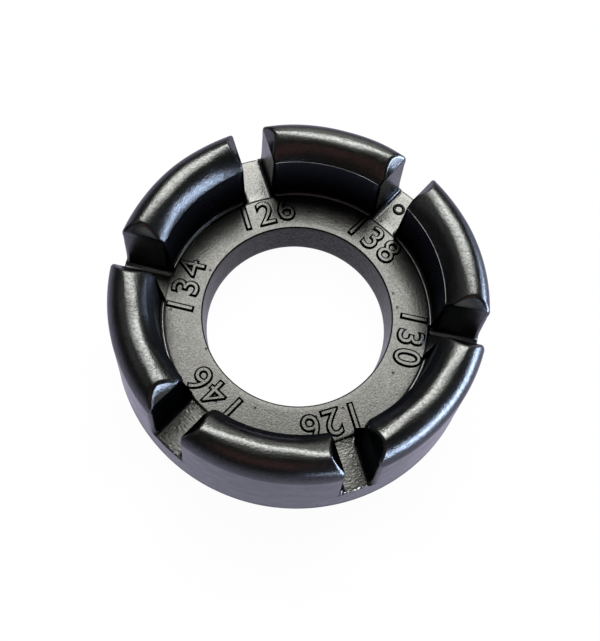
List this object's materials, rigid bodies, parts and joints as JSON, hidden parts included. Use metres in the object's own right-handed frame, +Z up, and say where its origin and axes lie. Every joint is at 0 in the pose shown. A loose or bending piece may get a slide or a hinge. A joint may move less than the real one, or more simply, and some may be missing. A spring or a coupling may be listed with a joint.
{
  "type": "spoke wrench",
  "caption": "Round spoke wrench: a cast ring with a finger bore and raised jaws round its rim, with a nipple slot of a different width between each pair of jaws.",
  "frame": {"origin": "centre of the underside, on the axis of the finger bore", "axes": "+Z is up, out of the face with the jaws, along the finger bore's axis; +X points to the side where slot 1 is; +Y completes the right-handed frame"},
  "size_m": [0.04, 0.04, 0.0135],
  "materials": {
    "casting": "black plated, glossy on the jaws, satin on the floor"
  },
  "bodies": {
    "root": {"base_ring": "casting", "jaw_1": "casting", "jaw_2": "casting", "jaw_3": "casting", "jaw_4": "casting", "jaw_5": "casting", "jaw_6": "casting"}
  },
  "joints": []
}
